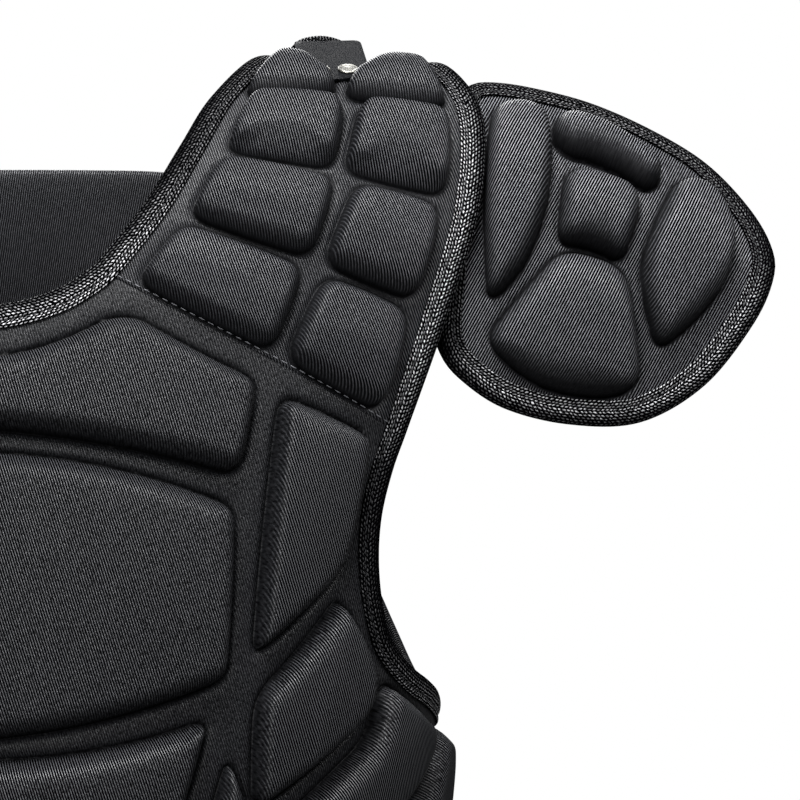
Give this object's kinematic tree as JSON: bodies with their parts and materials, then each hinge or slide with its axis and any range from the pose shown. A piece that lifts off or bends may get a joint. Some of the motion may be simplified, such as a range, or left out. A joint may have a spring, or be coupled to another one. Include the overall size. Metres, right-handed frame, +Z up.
{
  "type": "chest protector",
  "caption": "Black moulded chest protector shirt with raised twill-covered foam pads, padded shoulders and shoulder caps, braided edge binding, riveted shoulder tabs and a plain back panel",
  "frame": {"origin": "midway between the two shoulders, at the height on which the shoulder panels rest on the wearer", "axes": "+X to the wearer's left, +Y to the wearer's back, +Z up"},
  "size_m": [0.646, 0.2435, 0.444],
  "materials": {
    "twill": "black polyester twill laminated over moulded foam",
    "braid": "black woven herringbone binding tape and webbing",
    "leatherette": "smooth black leatherette",
    "nickel": "polished nickel plate"
  },
  "bodies": {
    "root": {"chest_panel": "twill", "shoulder_panel_left": "twill", "shoulder_panel_right": "twill", "shoulder_cap_left": "twill", "shoulder_cap_right": "twill", "back_panel": "twill", "edge_binding": "braid", "hem_binding": "braid", "cap_binding_left": "braid", "cap_binding_right": "braid", "back_strap_left": "braid", "back_strap_right": "braid", "shoulder_tab_left": "leatherette", "shoulder_tab_right": "leatherette", "tab_rivet_left_1": "nickel", "tab_rivet_left_2": "nickel", "tab_rivet_right_1": "nickel", "tab_rivet_right_2": "nickel"}
  },
  "joints": []
}
